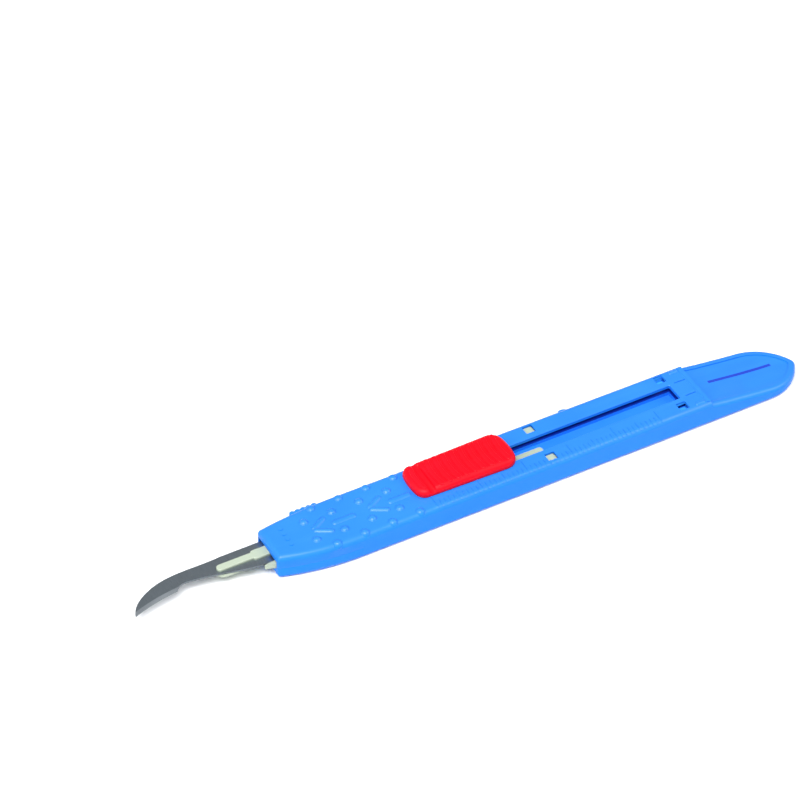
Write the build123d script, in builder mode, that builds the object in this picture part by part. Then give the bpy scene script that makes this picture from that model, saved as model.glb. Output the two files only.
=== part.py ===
from build123d import *
import os
from math import atan2, degrees

os.makedirs("parts", exist_ok=True)

# Retractable scalpel. X runs from the nose to the tail, Y across, Z up from the flat back face.
# The origin is the middle of the back face; at() turns a distance from the nose into X.
handle_length = 117.3
nose_front = -0.55
half_width = 6.4
handle_height = 5.6
parting_height = 2.8
edge_radius = 1.1
nose_near = -3.7
nose_far = 5.05
nose_taper = 16.0
nose_corner_radius = 0.5
tail_start_far = 107.5
tail_start_near = 108.5
tail_point = 117.55
tail_point_across = -0.6
tail_tip_radius = 1.3
tail_edge_radius = 0.8
panel_inset = 1.4
panel_depth = 0.3
front_shell_end = 94.0

# Hollow between the shells
mouth_near = -2.95
mouth_far = 4.6
mouth_floor = 2.2
mouth_roof = 3.9
mouth_roof_end = 10.0
cavity_roof = 4.8
cavity_near = -5.25
cavity_far = 5.5
cavity_start = 16.0
cavity_end = 91.5
blade_bay_end = 44.5
track_height = 3.87
track_near = -5.15
track_far = 5.4
channel_floor = 3.0
window_start = 31.65
window_end = 89.2
window_near = -1.95
window_far = 2.15

# Detents: small squares through the front shell, and the carrier pips that stop in them
detent_pitch = 30.0
detent_stations = (58.3, 88.3)
detent_rows = (-4.15, 4.4)
detent_length = 2.1
detent_width = 2.0
pip_size = 1.8
pip_top = 5.15
pip_groove_top = 5.2

# Outside details
bump_height = 0.5
bump_diameter = 1.8
bump_pitch = 5.9
rib_pitch = 1.16
first_rib = 7.5
rib_radius = 0.6
nub_radius = 1.3
tick_width = 0.25
ruler_start = 32.5
ruler_marks = 51

# Blade and its carrier
blade_bottom = 2.9
blade_thickness = 0.4
carrier_bottom = 2.3
carrier_top = 4.75
wing_bottom = 3.95
boss_top = 3.75
heel_wall_end = 14.4
shoulder_top = 3.5
beam_near = -1.75
beam_far = 1.95

# Thumb slider
slider_bottom = 5.8
slider_top = 7.25
slider_rib_pitch = 1.83
slider_rib_count = 9
slider_rib_height = 0.18


def at(from_nose):
    return from_nose - handle_length / 2


def handle_outline():
    """Plan of the handle: blunt offset nose, straight sides, pointed oval tail."""
    with BuildLine() as path:
        nose_corner_near = (at(nose_front), nose_near)
        nose_corner_far = (at(nose_front), nose_far)
        tip = (at(tail_point), tail_point_across)
        TangentArc((at(nose_taper), -half_width), nose_corner_near, tangent=(-1, 0))
        Line(nose_corner_near, nose_corner_far)
        TangentArc((at(nose_taper), half_width), nose_corner_far, tangent=(-1, 0))
        Line((at(nose_taper), half_width), (at(tail_start_far), half_width))
        TangentArc((at(tail_start_far), half_width), tip, tangent=(1, 0))
        TangentArc((at(tail_start_near), -half_width), tip, tangent=(1, 0))
        Line((at(tail_start_near), -half_width), (at(nose_taper), -half_width))
    make_face(path.edges())


def round_outline_corners(sketch):
    corners = sketch.vertices().group_by(Axis.X)
    fillet(corners[0], radius=nose_corner_radius)
    fillet(sketch.vertices().sort_by(Axis.X)[-1], radius=tail_tip_radius)


def box_between(x_range, y_range, z_range, mode=Mode.ADD):
    """Box between stations from the nose, across positions and heights."""
    middle = (
        at(sum(x_range) / 2),
        sum(y_range) / 2,
        sum(z_range) / 2,
    )
    with Locations(middle):
        Box(x_range[1] - x_range[0], y_range[1] - y_range[0], z_range[1] - z_range[0], mode=mode)


def side_ribs(bottom, top):
    """Five upright finger ribs on a raised pad on the far side of the nose, and the nub half way back."""
    middle = (bottom + top) / 2
    box_between((first_rib, first_rib + 4 * rib_pitch), (5.5, 6.6), (bottom, top))
    stations = [(at(first_rib + rib_pitch * k), 6.85 - rib_radius, middle) for k in range(5)]
    with Locations(stations):
        Cylinder(rib_radius, top - bottom)
    with Locations((at(67), half_width + 0.45 - nub_radius, middle)):
        Cylinder(nub_radius, top - bottom)


# Front shell: window, detent squares, bumps, arrows, ruler and the ridge before the tail
def ruler_tick(inner_end):
    """Raised ruler line that follows the rounded near edge of the front shell."""
    bend = -half_width + edge_radius
    raised = edge_radius + 0.12
    with BuildPart() as tick:
        with BuildSketch(Plane.YZ) as profile:
            with BuildLine():
                Line((inner_end, handle_height - 0.3), (inner_end, handle_height + 0.12))
                Line((inner_end, handle_height + 0.12), (bend, handle_height + 0.12))
                curve = CenterArc((bend, handle_height - edge_radius), raised, 90, 42)
                Line(curve @ 1, (bend, handle_height - edge_radius))
                Line((bend, handle_height - edge_radius), (bend, handle_height - 0.3))
                Line((bend, handle_height - 0.3), (inner_end, handle_height - 0.3))
            make_face()
        extrude(amount=tick_width / 2, both=True)
    return tick.part


def tick_stations(kind):
    stations = []
    for mark in range(ruler_marks):
        if mark % 10 == 0:
            mark_kind = "long"
        elif mark % 5 == 0:
            mark_kind = "medium"
        else:
            mark_kind = "short"
        if mark_kind == kind:
            stations.append(at(ruler_start + mark))
    return stations


def raised_bar(start, end, radius, rise):
    """Rounded bar half sunk in the top face, between two points given from the nose and across."""
    height = handle_height + rise - radius
    run = end[0] - start[0]
    offset_across = end[1] - start[1]
    length = (run**2 + offset_across**2) ** 0.5
    turn = degrees(atan2(offset_across, run))
    middle = (at((start[0] + end[0]) / 2), (start[1] + end[1]) / 2, height)
    with Locations(Location(middle, (0, 0, turn)) * Location((0, 0, 0), (0, 90, 0))):
        Cylinder(radius, length)
    with Locations((at(start[0]), start[1], height), (at(end[0]), end[1], height)):
        Sphere(radius)


def arrow(tip):
    """Arrow that points to the nose: two slanted bars and a shaft."""
    raised_bar((tip + 0.8, 0.2), (tip + 3.3, 1.6), 0.75, 0.3)
    raised_bar((tip + 0.8, -0.55), (tip + 3.3, -1.95), 0.75, 0.34)
    raised_bar((tip + 4.9, -0.3), (tip + 8.7, -0.3), 1.0, 0.26)


with BuildPart() as front_shell:
    with BuildSketch(Plane.XY.offset(parting_height)) as front_plan:
        handle_outline()
        round_outline_corners(front_plan)
    extrude(amount=handle_height - parting_height)
    fillet(front_shell.edges().group_by(Axis.Z)[-1], radius=edge_radius)
    side_ribs(parting_height, 4.9)

    # Grip bumps in four rows
    bump_radius = (bump_diameter**2 / 4 + bump_height**2) / (2 * bump_height)
    bump_centre = handle_height + bump_height - bump_radius
    for across, first in ((5.05, 10.8), (-5.25, 11.1), (2.5, 8.0), (-2.7, 8.1)):
        with Locations([(at(first + bump_pitch * k), across, bump_centre) for k in range(4)]):
            Sphere(bump_radius)

    # Two raised arrows, and a row of plain dots near the mouth
    arrow(8.3)
    arrow(20.2)
    with BuildSketch(Plane.XY.offset(handle_height - 0.1)):
        with Locations([(at(3.3), 2.9 - 1.5 * k) for k in range(4)]):
            Circle(0.4)
    extrude(amount=0.24)

    # Two small rounded bars at the corners, and the cross ridge where the front shell ends
    raised_bar((91.2, 5.0), (92.6, 5.0), 0.5, 0.25)
    raised_bar((91.2, -5.0), (92.6, -5.0), 0.5, 0.25)
    with BuildSketch(Plane.XZ.offset(-5.6)):
        with BuildLine():
            Polyline((at(92.8), 5.4), (at(93.1), 5.75), (at(94.2), 5.75), (at(94.2), 5.4), close=True)
        make_face()
    extrude(amount=11.2)
    box_between((front_shell_end, handle_length + 1), (-9, 9), (0, 9), mode=Mode.SUBTRACT)

    # Inside
    box_between((-1, mouth_roof_end), (mouth_near, mouth_far), (0, mouth_roof), mode=Mode.SUBTRACT)
    box_between(
        (mouth_roof_end, cavity_start), (mouth_near, mouth_far), (0, cavity_roof), mode=Mode.SUBTRACT
    )
    box_between(
        (cavity_start, cavity_end), (cavity_near, cavity_far), (0, cavity_roof), mode=Mode.SUBTRACT
    )
    for row in detent_rows:
        groove = (row - detent_width / 2, row + detent_width / 2)
        box_between((27.0, 89.6), groove, (cavity_roof, pip_groove_top), mode=Mode.SUBTRACT)

    # Window with a small lead-in chamfer, and the square detent windows
    with BuildSketch(Plane.XY.offset(cavity_roof - 0.1)):
        with Locations((at((window_start + window_end) / 2), (window_near + window_far) / 2)):
            RectangleRounded(window_end - window_start, window_far - window_near, 0.3)
    extrude(amount=2, mode=Mode.SUBTRACT)
    rim = front_shell.faces().filter_by(Axis.Z).sort_by(SortBy.AREA)
    top_face = [f for f in rim if abs(f.center().Z - handle_height) < 0.01][-1]
    window_wire = [w for w in top_face.inner_wires() if w.length > 100][0]
    chamfer(window_wire.edges(), length=0.12)
    # Two fine grooves that carry the window's sides on to the ridge
    for across in (window_near, window_far):
        box_between((90.4, 92.8), (across - 0.12, across + 0.12), (5.4, 6), mode=Mode.SUBTRACT)

    for kind, inner_end in (("short", -4.3), ("medium", -3.8), ("long", -2.8)):
        with Locations([(x, 0, 0) for x in tick_stations(kind)]):
            add(ruler_tick(inner_end))
    with BuildSketch(Plane.XY.offset(cavity_roof)):
        with Locations([(at(station), row) for station in detent_stations for row in detent_rows]):
            RectangleRounded(detent_length, detent_width, 0.15)
    extrude(amount=2, mode=Mode.SUBTRACT)

front_shell.part.label = "front_shell"
export_step(front_shell.part, "parts/front_shell.step")


# Back shell: flat back, blade bay, raised track with its channel, and the sloping tail
def tail_profile(drop):
    """Region above the tail's sloping top, or above a surface lower by drop, seen from the side."""
    with BuildLine() as path:
        slope = Spline(
            (at(front_shell_end), 5.0 - drop),
            (at(97.4), 4.4 - drop),
            (at(100.5), 3.95 - drop),
            (at(104.5), 3.4 - drop),
            (at(109), 2.9 - drop),
            (at(113), 2.6 - drop),
            (at(118), 2.3 - drop),
        )
        Line(slope @ 1, (at(118), 8))
        Line((at(118), 8), (at(front_shell_end), 8))
        Line((at(front_shell_end), 8), slope @ 0)
    make_face(path.edges())


with BuildPart() as tail_panel:
    with BuildSketch(Plane.XY.offset(1.5)) as panel_plan:
        handle_outline()
        offset(amount=-panel_inset, kind=Kind.INTERSECTION, mode=Mode.REPLACE)
        fillet(panel_plan.vertices().sort_by(Axis.X)[-1], radius=1.0)
    extrude(amount=5)
    with BuildSketch(Plane.XZ.offset(-10)):
        tail_profile(panel_depth)
    extrude(amount=20, mode=Mode.INTERSECT)


def digit_segments(digit):
    """Strokes of a square-cut numeral: centre and size of each, for a numeral 2 mm high."""
    strokes = {
        "top": ((0, 0.9), (1.0, 0.22)),
        "middle": ((0, 0), (1.0, 0.22)),
        "bottom": ((0, -0.9), (1.0, 0.22)),
        "upper_left": ((-0.45, 0.45), (0.22, 1.0)),
        "upper_right": ((0.45, 0.45), (0.22, 1.0)),
        "lower_left": ((-0.45, -0.45), (0.22, 1.0)),
        "lower_right": ((0.45, -0.45), (0.22, 1.0)),
    }
    used = {
        0: ("top", "bottom", "upper_left", "upper_right", "lower_left", "lower_right"),
        1: ("upper_right", "lower_right"),
        2: ("top", "middle", "bottom", "upper_right", "lower_left"),
        3: ("top", "middle", "bottom", "upper_right", "lower_right"),
        4: ("middle", "upper_left", "upper_right", "lower_right"),
        5: ("top", "middle", "bottom", "upper_left", "lower_right"),
    }
    return [strokes[name] for name in used[digit]]


with BuildPart() as back_shell:
    with BuildSketch() as back_plan:
        handle_outline()
        round_outline_corners(back_plan)
    extrude(amount=handle_height)
    fillet(back_shell.edges().group_by(Axis.Z)[0], radius=edge_radius)
    with BuildSketch(Plane.XZ.offset(-10)):
        tail_profile(0)
    extrude(amount=20, mode=Mode.SUBTRACT)
    rim = back_shell.edges().filter_by(
        lambda e: e.center().X > at(98) and e.center().Z > 2.2 and abs(e.center().Y) > 0.3
    )
    fillet(rim, radius=tail_edge_radius)
    side_ribs(0.7, parting_height)
    box_between((-1, front_shell_end), (-9, 9), (parting_height, 9), mode=Mode.SUBTRACT)
    add(tail_panel.part, mode=Mode.SUBTRACT)

    # Track the carrier straddles, the blade bay in front of it and the channel along it
    box_between((cavity_start + 0.1, cavity_end - 0.1), (track_near, track_far), (2.7, track_height))
    box_between(
        (-1, blade_bay_end), (mouth_near, mouth_far), (mouth_floor, 9), mode=Mode.SUBTRACT
    )
    box_between(
        (blade_bay_end - 0.1, window_end), (window_near, window_far), (channel_floor, 9),
        mode=Mode.SUBTRACT,
    )

    # Core hole near the tail, and the ruler with its numerals along the far edge
    box_between((90.2, 92.4), (-0.8, 1.2), (-1, 1.6), mode=Mode.SUBTRACT)
    with BuildSketch(Plane.XY.offset(-1)):
        for kind, inner_end in (("short", 4.1), ("medium", 3.1), ("long", 1.6)):
            reach = 6.2 - inner_end
            with Locations([(x, inner_end + reach / 2) for x in tick_stations(kind)]):
                Rectangle(tick_width, reach)
        for digit in range(6):
            middle = at(ruler_start + 50 - 10 * digit)
            for place, size in digit_segments(digit):
                with Locations((middle - place[0], 0.2 + place[1])):
                    Rectangle(size[0], size[1])
    extrude(amount=1.15, mode=Mode.SUBTRACT)

back_shell.part.label = "back_shell"
export_step(back_shell.part, "parts/back_shell.step")


# Blade carrier: tongue and boss for the blade, heel wall, beam in the track, two sprung arms
with BuildPart() as blade_carrier:
    # Tongue and platform that the blade lies on
    with BuildSketch(Plane.XY.offset(carrier_bottom)):
        with BuildLine():
            Polyline(
                (at(-9.8), -0.55),
                (at(-0.5), -0.55),
                (at(-0.5), -2.0),
                (at(-0.9), -2.85),
                (at(heel_wall_end), -2.85),
                (at(heel_wall_end), 3.2),
                (at(-0.5), 3.2),
                (at(-0.5), 2.85),
                (at(-9.8), 2.85),
            )
            ThreePointArc((at(-9.8), 2.85), (at(-11.3), 1.15), (at(-9.8), -0.55))
        make_face()
    extrude(amount=blade_bottom - carrier_bottom)
    # Shoulder beside the blade
    with BuildSketch(Plane.XY.offset(carrier_bottom)):
        with BuildLine():
            Polyline(
                (at(-2.6), -2.2),
                (at(-0.5), -2.85),
                (at(heel_wall_end), -2.85),
                (at(heel_wall_end), -2.0),
                (at(-1.4), -2.0),
                close=True,
            )
        make_face()
    extrude(amount=shoulder_top - carrier_bottom)
    # Boss through the keyhole
    with BuildSketch(Plane.XY.offset(blade_bottom - 0.1)):
        with Locations((at(-7.0), 1.1)):
            SlotOverall(8.0, 1.5)
        with Locations((at(1.75), 1.1)):
            RectangleRounded(10.9, 2.3, 0.6)
    extrude(amount=boss_top - blade_bottom + 0.1)
    fillet(blade_carrier.faces().filter_by(Axis.Z).filter_by(
        lambda f: abs(f.center().Z - boss_top) < 0.01 and f.center().Y > 0).edges(), radius=0.2)
    # Wall behind the blade's slanted heel
    with BuildSketch(Plane.XY.offset(carrier_bottom)):
        with BuildLine():
            Polyline(
                (at(13.5), -2.85),
                (at(10.25), 4.3),
                (at(heel_wall_end), 4.3),
                (at(heel_wall_end), -2.85),
                close=True,
            )
        make_face()
    extrude(amount=carrier_top - carrier_bottom)
    # Beam, wings and arms
    box_between((heel_wall_end, 50), (beam_near, beam_far), (3.05, carrier_top))
    box_between((heel_wall_end, 17.1), (-2.85, 4.3), (wing_bottom, carrier_top))
    box_between((17, 50), (-5.1, 5.3), (wing_bottom, carrier_top))
    box_between((49.9, 60.5), (-5.1, -3.3), (wing_bottom, carrier_top))
    box_between((49.9, 60.5), (3.5, 5.3), (wing_bottom, carrier_top))
    with BuildSketch(Plane.XY.offset(3.05)):
        with Locations((at(54.2), 0.1)):
            RectangleRounded(9.6, 1.7, 0.6)
    extrude(amount=0.45)
    with BuildSketch(Plane.XY.offset(carrier_top - 0.1)):
        for station in (detent_stations[0] - detent_pitch, detent_stations[0]):
            with Locations([(at(station), row) for row in (-4.15, 4.4)]):
                RectangleRounded(pip_size, pip_size, 0.2)
    extrude(amount=pip_top - carrier_top + 0.1)
    # Slots that free the arms so that they can flex
    for across in (2.45, -2.4):
        box_between((38, 51), (across - 0.3, across + 0.3), (3.5, 5), mode=Mode.SUBTRACT)

blade_carrier.part.label = "blade_carrier"
export_step(blade_carrier.part, "parts/blade_carrier.step")


# Blade: straight spine that hooks down to the point, concave edge, keyhole
with BuildPart() as blade:
    with BuildSketch(Plane.XY.offset(blade_bottom)):
        with BuildLine():
            Line((at(13.0), -1.95), (at(10.3), 3.95))
            Line((at(10.3), 3.95), (at(-9.0), 3.9))
            hook = Spline(
                (at(-9.0), 3.9),
                (at(-17.4), 3.75),
                (at(-21.5), 3.3),
                (at(-25.6), 1.7),
                (at(-28.0), -0.2),
                (at(-29.3), -2.5),
            )
            edge = Spline(
                (at(-29.3), -2.5),
                (at(-27.3), -1.78),
                (at(-23.5), -0.8),
                (at(-19.7), -0.25),
            )
            Spline(edge @ 1, (at(-18.8), 0.72), (at(-17.5), 1.0))
            Spline((at(-17.5), 1.0), (at(-11.2), 0.0), (at(-2.2), -1.82), (at(0.2), -1.95))
            Line((at(0.2), -1.95), (at(13.0), -1.95))
        make_face()
        with Locations((at(-7.0), 1.1)):
            SlotOverall(8.2, 1.7, mode=Mode.SUBTRACT)
        with Locations((at(1.75), 1.1)):
            RectangleRounded(11.1, 2.5, 0.7, mode=Mode.SUBTRACT)
    extrude(amount=blade_thickness)
    ground = blade.edges().filter_by(
        lambda e: e.center().X < at(-20.5) and e.center().Y < 0 and e.length > 5
    )
    chamfer(ground, length=0.17, length2=0.75)

blade.part.label = "blade"
export_step(blade.part, "parts/blade.step")


# Thumb slider: front lip, cross valley, bowed ribs, and the stem that drops through the window
with BuildPart() as slider_button:
    with BuildSketch(Plane.XY.offset(slider_bottom)) as slider_plan:
        with BuildLine():
            ThreePointArc((at(30.5), -2.95), (at(29.85), 1.3), (at(30.5), 5.55))
            Line((at(30.5), 5.55), (at(51.3), 5.95))
            ThreePointArc((at(51.3), 5.95), (at(52.1), 1.28), (at(51.3), -3.4))
            Line((at(51.3), -3.4), (at(30.5), -2.95))
        make_face()
        fillet(slider_plan.vertices().group_by(Axis.X)[0], radius=2.1)
        fillet(slider_plan.vertices().group_by(Axis.X)[-1], radius=2.7)
    extrude(amount=slider_top - slider_bottom)
    fillet(slider_button.edges().group_by(Axis.Z)[-1], radius=1.1)
    with BuildSketch(Plane.XY.offset(slider_top - 0.3)):
        for rib in range(slider_rib_count):
            station = 34.9 + slider_rib_pitch * rib
            bow = ThreePointArc(
                (at(station + 0.4), -2.0), (at(station), 1.25), (at(station + 0.4), 4.5),
                mode=Mode.PRIVATE,
            )
            SlotArc(bow, height=1.1)
        lip = ThreePointArc(
            (at(31.75), -1.5), (at(31.35), 1.3), (at(31.75), 4.1), mode=Mode.PRIVATE
        )
        SlotArc(lip, height=0.9)
    extrude(amount=0.3 + slider_rib_height)
    fillet(slider_button.edges().group_by(Axis.Z)[-1], radius=slider_rib_height - 0.02)
    with Locations(Location((at(32.9), 1.3, slider_top - 0.15), (90, 0, 0))):
        Cylinder(0.8, 14, mode=Mode.SUBTRACT)
    box_between((31.75, 50.0), (beam_near, beam_far), (carrier_top, slider_bottom + 0.1))

slider_button.part.label = "slider_button"
export_step(slider_button.part, "parts/slider_button.step")
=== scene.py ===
import math

import bpy
import bmesh
from mathutils import Matrix, Vector

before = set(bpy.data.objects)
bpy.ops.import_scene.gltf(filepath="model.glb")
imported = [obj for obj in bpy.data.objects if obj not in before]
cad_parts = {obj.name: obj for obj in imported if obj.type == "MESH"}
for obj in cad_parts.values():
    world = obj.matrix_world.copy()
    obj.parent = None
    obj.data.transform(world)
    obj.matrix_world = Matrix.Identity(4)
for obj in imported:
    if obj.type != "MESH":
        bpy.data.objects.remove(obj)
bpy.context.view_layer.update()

MM = 0.001
HALF_HANDLE = 117.3 / 2

# Places on the handle in mm: along it from the nose, across it, and above its back face
STRIPE_ALONG, STRIPE_ACROSS, STRIPE_LOWEST = (97.4, 112.4), (0.25, 0.95), 2.0
# Painted shade: the slit under the window's lip is painted near black within these limits.
SHADED_SLIT_ALONG, SHADED_SLIT_ACROSS, SHADED_SLIT_HEIGHT = (16.5, 91.7), (-2.85, 3.05), (3.8, 4.83)
# Painted light: inside these limits the floor of the rear squares is painted a paler blue.
SQUARE_ALONG, SQUARE_OFF_CENTRE, SQUARE_HEIGHT = (87.0, 89.6), (3.08, 5.55), (3.5, 5.3)

STRIPE_INK = (0.012, 0.03, 0.42)
# Painted shade colour for the upright sides
PAINTED_SIDE_SHADE_BLUE = (0.012, 0.195, 0.70)
# Painted light colour for the floor seen in the rear squares
PAINTED_LIGHT_BLUE = (0.05, 0.40, 0.98)

# The photograph's camera
LENS_MM = 136.5
CAMERA_DISTANCE = 0.596
VIEW_PLAN = (0.4868, 0.8735)
VIEW_DOWN_DEGREES = 43.0
VIEW_ROLL_DEGREES = -0.645

scene = bpy.context.scene


def at(from_nose, across=0.0, height=0.0):
    """A point given from the nose end, across and above the back face, in mm, as metres in the row frame."""
    return Vector(((from_nose - HALF_HANDLE) * MM, across * MM, height * MM))


# ---------------------------------------------------------------- materials

class Nodes:
    """Small helper that builds one material's node tree."""

    def __init__(self, name):
        self.material = bpy.data.materials.new(name)
        self.material.use_nodes = True
        self.tree = self.material.node_tree
        self.tree.nodes.clear()
        self.out = self.tree.nodes.new("ShaderNodeOutputMaterial")
        self.shader = self.tree.nodes.new("ShaderNodeBsdfPrincipled")
        self.link(self.shader.outputs["BSDF"], self.out.inputs["Surface"])
        places = self.tree.nodes.new("ShaderNodeTexCoord")
        self.coord = places.outputs["Object"]
        self.facing = places.outputs["Normal"]

    def link(self, a, b):
        self.tree.links.new(a, b)

    def fill(self, socket, value):
        if isinstance(value, bpy.types.NodeSocket):
            self.link(value, socket)
        else:
            socket.default_value = value

    def stretch(self, scale, turn=0.0):
        node = self.tree.nodes.new("ShaderNodeMapping")
        self.link(self.coord, node.inputs["Vector"])
        node.inputs["Scale"].default_value = scale
        node.inputs["Rotation"].default_value = (0.0, 0.0, turn)
        return node.outputs["Vector"]

    def noise(self, size_mm, detail=3.0, rough=0.5, vector=None):
        node = self.tree.nodes.new("ShaderNodeTexNoise")
        self.link(vector or self.coord, node.inputs["Vector"])
        node.inputs["Scale"].default_value = 1.0 / (size_mm * MM)
        node.inputs["Detail"].default_value = detail
        node.inputs["Roughness"].default_value = rough
        return node.outputs["Fac"]

    def ramp(self, fac, low, high, out_low=0.0, out_high=1.0):
        node = self.tree.nodes.new("ShaderNodeMapRange")
        self.link(fac, node.inputs["Value"])
        node.inputs["From Min"].default_value = low
        node.inputs["From Max"].default_value = high
        node.inputs["To Min"].default_value = out_low
        node.inputs["To Max"].default_value = out_high
        return node.outputs["Result"]

    def math(self, kind, a, b=0.0, clamp=False):
        node = self.tree.nodes.new("ShaderNodeMath")
        node.operation = kind
        node.use_clamp = clamp
        self.fill(node.inputs[0], a)
        self.fill(node.inputs[1], b)
        return node.outputs[0]

    def mix(self, fac, a, b):
        node = self.tree.nodes.new("ShaderNodeMix")
        node.data_type = "RGBA"
        self.fill(node.inputs["Factor"], fac)
        for socket, value in ((node.inputs[6], a), (node.inputs[7], b)):
            self.fill(socket, value if isinstance(value, bpy.types.NodeSocket) else (*value, 1.0))
        return node.outputs[2]

    def axes(self, vector=None):
        node = self.tree.nodes.new("ShaderNodeSeparateXYZ")
        self.link(vector or self.coord, node.inputs[0])
        return node.outputs

    def levelness(self):
        """1 on faces that lie flat, 0 on upright ones."""
        return self.math("ABSOLUTE", self.axes(self.facing)["Z"])

    def between(self, value, limits, soft_mm):
        """1 between the limits in mm, falling to 0 over soft_mm on each side."""
        low, high = limits
        up = self.ramp(value, (low - soft_mm) * MM, (low + soft_mm) * MM)
        down = self.ramp(value, (high - soft_mm) * MM, (high + soft_mm) * MM, 1.0, 0.0)
        return self.math("MULTIPLY", up, down)

    def along(self, limits, soft_mm):
        """1 between two stations from the nose."""
        return self.between(self.axes()["X"], [station - HALF_HANDLE for station in limits], soft_mm)

    def all_of(self, *masks):
        product = masks[0]
        for mask in masks[1:]:
            product = self.math("MULTIPLY", product, mask)
        return product

    def bump(self, height, distance_mm, strength=1.0, below=None):
        node = self.tree.nodes.new("ShaderNodeBump")
        node.inputs["Strength"].default_value = strength
        node.inputs["Distance"].default_value = distance_mm * MM
        self.link(height, node.inputs["Height"])
        if below is not None:
            self.link(below, node.inputs["Normal"])
        return node.outputs["Normal"]

    def hollows(self, reach_mm, low, high):
        """Painted shade mask: 1 deep inside narrow gaps and hollows, 0 on open faces."""
        node = self.tree.nodes.new("ShaderNodeAmbientOcclusion")
        node.samples = 8
        node.inputs["Distance"].default_value = reach_mm * MM
        return self.ramp(node.outputs["AO"], low, high, 1.0, 0.0)

    def set(self, name, value):
        self.fill(self.shader.inputs[name], value)


def printed_stripe(n, colour):
    """The plain dark stripe printed on the tail's sunk panel."""
    _x, y, z = n.axes()
    band = n.all_of(
        n.along(STRIPE_ALONG, 0.04),
        n.between(y, STRIPE_ACROSS, 0.04),
        n.ramp(z, STRIPE_LOWEST * MM, (STRIPE_LOWEST + 0.1) * MM),
    )
    ink = n.ramp(n.noise(0.12, 2.0), 0.28, 0.42, 0.55, 0.92)
    return n.mix(n.math("MULTIPLY", band, ink), colour, STRIPE_INK)


def tint_shell(n, colour, shade, specular):
    """Tints the handle by place: painted shade in the slit under the window's lip, painted shade and duller
    specular on upright sides, painted light in the rear squares.
    """
    _x, y, z = n.axes()
    # Painted shade: the slit under the window's lip is driven almost fully to the dark shade colour.
    painted_shade = n.all_of(
        n.between(z, SHADED_SLIT_HEIGHT, 0.01),
        n.between(y, SHADED_SLIT_ACROSS, 0.02),
        n.along(SHADED_SLIT_ALONG, 0.05),
    )
    shade = n.math("MAXIMUM", shade, n.math("MULTIPLY", painted_shade, 0.96))
    # Painted shade: upright sides are mixed towards a darker blue, and their specular is lowered.
    upright = n.ramp(n.levelness(), 0.25, 0.75, 1.0, 0.0)
    colour = n.mix(n.math("MULTIPLY", upright, 0.75), colour, PAINTED_SIDE_SHADE_BLUE)
    # Painted light: the floor seen in the rear squares is painted a paler blue and freed of painted shade.
    lit_square = n.all_of(
        n.along(SQUARE_ALONG, 0.02),
        n.between(n.math("ABSOLUTE", y), SQUARE_OFF_CENTRE, 0.02),
        n.between(z, SQUARE_HEIGHT, 0.04),
    )
    colour = n.mix(lit_square, colour, PAINTED_LIGHT_BLUE)
    shade = n.math("MULTIPLY", shade, n.math("SUBTRACT", 1.0, lit_square))
    n.set("Specular IOR Level", n.math("SUBTRACT", specular, n.math("MULTIPLY", upright, specular * 0.75)))
    return colour, shade


def moulded_plastic(name, deep, base, pale, painted_shade, rough, specular, shell=False):
    """Injection-moulded plastic: faint colour drift, satin texture, scuffs that follow the handling, and
    painted shade in gaps and hollows.
    """
    n = Nodes(name)
    n.set("IOR", 1.5)
    n.set("Specular IOR Level", specular)
    drift = n.ramp(n.noise(14.0, 2.0), 0.3, 0.7)
    colour = n.mix(drift, deep, base)
    flow = n.noise(1.0, 3.0, 0.55, n.stretch((0.09, 0.6, 0.6)))
    colour = n.mix(n.ramp(flow, 0.5, 0.85, 0.0, 0.16), colour, pale)
    specks = n.ramp(n.noise(0.16, 2.0, 0.6), 0.68, 0.8, 0.0, 0.1)
    colour = n.mix(specks, colour, deep)
    # Painted shade: the colour falls towards the darkest colour deep in gaps and hollows.
    shade = n.math("MULTIPLY", n.hollows(0.8, 0.03, 0.28), 0.85)
    if shell:
        colour = printed_stripe(n, colour)
        colour, shade = tint_shell(n, colour, shade, specular)
    n.set("Base Color", n.mix(shade, colour, painted_shade))
    scuff = n.noise(1.0, 4.0, 0.6, n.stretch((0.25, 2.6, 2.6), 0.5))
    haze = n.noise(5.0, 3.0)
    roughness = n.math(
        "ADD",
        n.ramp(haze, 0.3, 0.7, rough - 0.05, rough + 0.05),
        n.ramp(scuff, 0.62, 0.8, 0.0, 0.12),
        clamp=True,
    )
    n.set("Roughness", roughness)
    grain = n.bump(n.noise(0.22, 3.0, 0.6), 0.012, 0.45)
    n.set("Normal", n.bump(n.noise(2.6, 2.0), 0.03, 0.35, grain))
    return n.material


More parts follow.
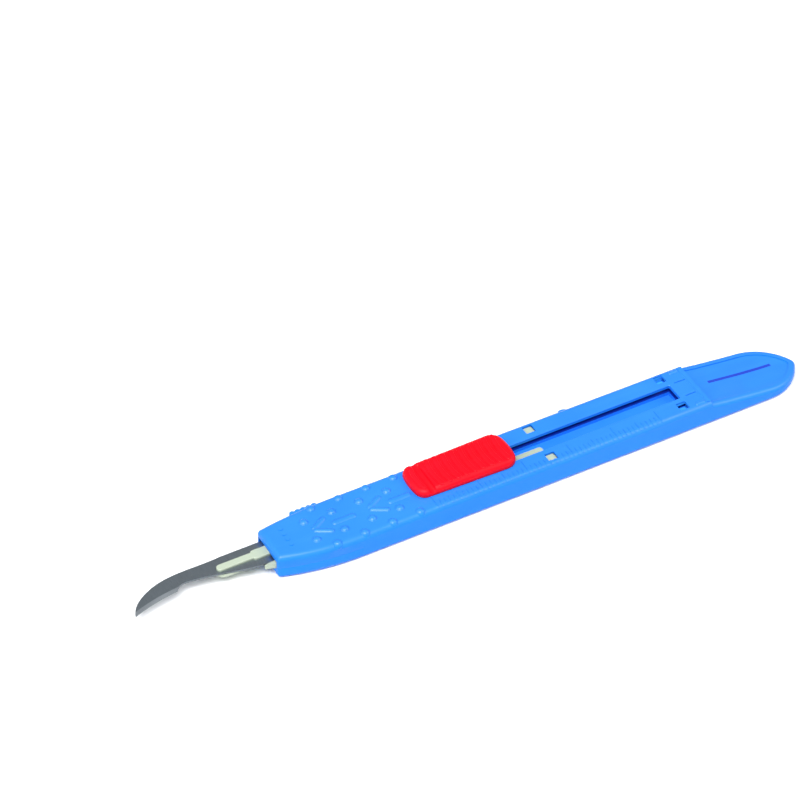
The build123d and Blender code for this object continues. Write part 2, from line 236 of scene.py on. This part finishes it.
def ground_steel(name):
    """Blade steel: fine grind lines across the blade, a brighter ground bevel, darker thin side faces."""
    n = Nodes(name)
    lines = n.noise(1.0, 5.0, 0.65, n.stretch((9.0, 0.7, 3.0), 0.35))
    broad = n.noise(4.0, 3.0)
    colour = n.mix(n.ramp(lines, 0.3, 0.75), (0.30, 0.345, 0.38), (0.42, 0.47, 0.51))
    colour = n.mix(n.ramp(broad, 0.35, 0.75, 0.0, 0.45), colour, (0.26, 0.30, 0.33))
    pits = n.ramp(n.noise(0.1, 2.0, 0.6), 0.7, 0.82, 0.0, 0.5)
    colour = n.mix(pits, colour, (0.12, 0.13, 0.15))
    level = n.levelness()
    edge_face = n.ramp(level, 0.35, 0.75, 1.0, 0.0)
    colour = n.mix(n.math("MULTIPLY", edge_face, 0.8), colour, (0.085, 0.10, 0.115))
    bevel = n.all_of(n.ramp(level, 0.896, 0.904), n.ramp(level, 0.988, 0.996, 1.0, 0.0))
    colour = n.mix(n.math("MULTIPLY", bevel, 0.55), colour, (0.62, 0.66, 0.70))
    n.set("Base Color", colour)
    n.set("Metallic", 1.0)
    grind = n.ramp(lines, 0.25, 0.8, 0.26, 0.42)
    n.set("Roughness", n.math("ADD", grind, n.ramp(broad, 0.3, 0.7, 0.0, 0.06)))
    n.set("Normal", n.bump(lines, 0.006, 0.5))
    return n.material


# The darkest colour given for each plastic below is painted shade for its gaps and hollows.
blue = moulded_plastic(
    "blue_plastic",
    deep=(0.018, 0.185, 0.80),
    base=(0.022, 0.205, 0.86),
    pale=(0.05, 0.28, 0.94),
    painted_shade=(0.0010, 0.012, 0.26),
    rough=0.36,
    specular=0.4,
    shell=True,
)
cream = moulded_plastic(
    "cream_plastic",
    deep=(0.36, 0.42, 0.33),
    base=(0.40, 0.46, 0.36),
    pale=(0.46, 0.52, 0.41),
    painted_shade=(0.10, 0.14, 0.15),
    rough=0.42,
    specular=0.35,
)
red = moulded_plastic(
    "red_plastic",
    deep=(0.66, 0.0015, 0.010),
    base=(0.72, 0.002, 0.014),
    pale=(0.84, 0.012, 0.035),
    painted_shade=(0.22, 0.0, 0.004),
    rough=0.42,
    specular=0.16,
)
steel = ground_steel("blade_steel")

FINISH = {
    "front_shell": blue,
    "back_shell": blue,
    "blade_carrier": cream,
    "slider_button": red,
    "blade": steel,
}


def soften(piece, width_mm, angle=28.0):
    """Breaks the piece's sharp edges the way a mould or a grinding belt does."""
    weld = piece.modifiers.new("weld", "WELD")
    weld.merge_threshold = 0.0005 * MM
    bevel = piece.modifiers.new("edge_break", "BEVEL")
    bevel.width = width_mm * MM
    bevel.segments = 2
    bevel.limit_method = "ANGLE"
    bevel.angle_limit = math.radians(angle)
    bevel.use_clamp_overlap = True
    bevel.harden_normals = False


for node, material in FINISH.items():
    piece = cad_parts[node]
    piece.data.materials.clear()
    piece.data.materials.append(material)

soften(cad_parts["front_shell"], 0.06)
soften(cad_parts["back_shell"], 0.08)
soften(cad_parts["blade_carrier"], 0.07)
soften(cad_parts["slider_button"], 0.08)


# ---------------------------------------------------------------- floor, light, camera

def floor_material():
    n = Nodes("pale_floor")
    patches = n.ramp(n.noise(60.0, 3.0), 0.3, 0.7)
    n.set("Base Color", n.mix(patches, (0.90, 0.905, 0.91), (0.93, 0.93, 0.935)))
    n.set("Roughness", n.ramp(n.noise(8.0, 3.0), 0.3, 0.7, 0.62, 0.72))
    n.set("Specular IOR Level", 0.2)
    n.set("Normal", n.bump(n.noise(0.7, 3.0), 0.01, 0.3))
    return n.material


mesh = bpy.data.meshes.new("floor")
bm = bmesh.new()
bmesh.ops.create_grid(bm, x_segments=4, y_segments=4, size=2.0)
bm.to_mesh(mesh)
bm.free()
floor = bpy.data.objects.new("floor", mesh)
scene.collection.objects.link(floor)
floor.location = (0.0, 0.0, -0.00002)
mesh.materials.append(floor_material())

world = bpy.data.worlds.new("studio")
scene.world = world
world.use_nodes = True
backdrop = world.node_tree.nodes["Background"]
backdrop.inputs["Color"].default_value = (0.93, 0.96, 1.0, 1.0)
backdrop.inputs["Strength"].default_value = 0.34

aim = at(40.19, 23.52, 5.6)


def softbox(name, place, size, watts):
    data = bpy.data.lights.new(name, "AREA")
    data.shape = "RECTANGLE"
    data.size, data.size_y = size
    data.energy = watts
    lamp = bpy.data.objects.new(name, data)
    scene.collection.objects.link(lamp)
    lamp.location = place
    lamp.rotation_euler = (Vector((0.0, 0.0, 0.0)) - Vector(place)).to_track_quat("-Z", "Y").to_euler()
    return lamp


softbox("key", (-0.34, -0.36, 0.86), (0.55, 0.45), 12.5)
softbox("fill_left", (-0.85, 0.10, 0.60), (0.6, 0.6), 3.5)
softbox("fill_right", (0.70, -0.30, 0.70), (0.6, 0.6), 4.0)

camera_data = bpy.data.cameras.new("camera")
camera_data.lens = LENS_MM
camera_data.sensor_width = 36.0
camera_data.clip_start = 0.01
camera_data.clip_end = 20.0
camera_data.dof.use_dof = False
camera = bpy.data.objects.new("camera", camera_data)
scene.collection.objects.link(camera)
down = math.radians(VIEW_DOWN_DEGREES)
roll = math.radians(VIEW_ROLL_DEGREES)
look = Vector((VIEW_PLAN[0] * math.cos(down), VIEW_PLAN[1] * math.cos(down), -math.sin(down))).normalized()
level_right = look.cross(Vector((0.0, 0.0, 1.0))).normalized()
level_up = level_right.cross(look)
right = level_right * math.cos(roll) - level_up * math.sin(roll)
up = level_up * math.cos(roll) + level_right * math.sin(roll)
spin = Matrix((right, up, -look)).transposed().to_4x4()
camera.matrix_world = Matrix.Translation(aim - look * CAMERA_DISTANCE) @ spin
scene.camera = camera
scene.view_settings.view_transform = "Standard"
